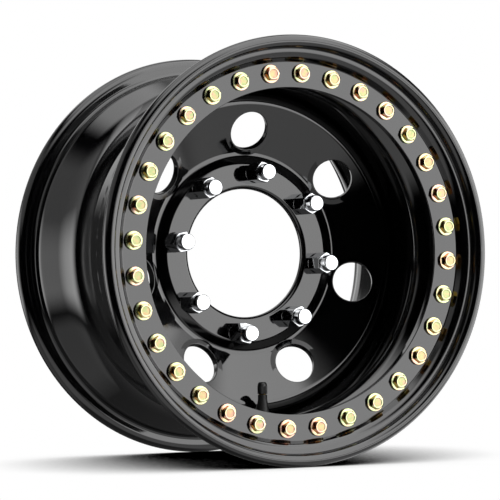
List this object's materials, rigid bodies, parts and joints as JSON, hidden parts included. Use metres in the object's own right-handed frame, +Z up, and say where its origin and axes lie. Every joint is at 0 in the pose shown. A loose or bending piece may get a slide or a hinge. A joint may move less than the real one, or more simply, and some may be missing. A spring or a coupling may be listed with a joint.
{
  "type": "beadlock wheel",
  "caption": "Black steel beadlock wheel: deep vented centre disc in a drop-centre barrel, with a bolted clamp ring that holds the outer tyre bead.",
  "frame": {"origin": "centre of the hub bore, in the plane of the hub mounting face", "axes": "+Y along the spin axis towards the vehicle, -Y outboard, +Z up, with the tyre valve at the bottom"},
  "size_m": [0.4276, 0.2358, 0.4276],
  "materials": {
    "black_coat": "gloss black powder coat on steel",
    "yellow_zinc": "zinc plate with yellow iridescent passivate",
    "nut_chrome": "polished chrome plate",
    "valve_rubber": "satin moulded rubber",
    "valve_brass": "turned brass",
    "seal_plastic": "matte sealing plastic",
    "spring_steel": "drawn wire",
    "cap_plastic": "moulded plastic"
  },
  "bodies": {
    "wheel": {"rim_barrel": "black_coat", "centre_disc": "black_coat", "inner_bead_ring": "black_coat", "clamp_ring": "black_coat", "clamp_bolts": "yellow_zinc", "lug_nuts": "nut_chrome", "valve_body": "valve_rubber", "valve_stem": "valve_brass", "valve_core_plug": "valve_brass", "valve_core_seal": "seal_plastic", "valve_core_spring": "spring_steel"},
    "valve_pin": {"valve_core_pin": "valve_brass", "valve_plunger_seal": "valve_rubber"},
    "valve_cap": {"valve_cap": "cap_plastic", "valve_cap_seal": "valve_rubber"}
  },
  "joints": [
    {"name": "valve_pin_press", "type": "slide", "parent": "wheel", "child": "valve_pin", "axis": [0, 0, -1], "range_m": [0, 0.0012], "stiffness_N_per_m": 400, "springref_m": -0.004, "deforming": ["valve_core_spring"]},
    {"name": "valve_cap_off", "type": "slide", "parent": "wheel", "child": "valve_cap", "axis": [0, 0, 1], "range_m": [0, 0.012]}
  ]
}
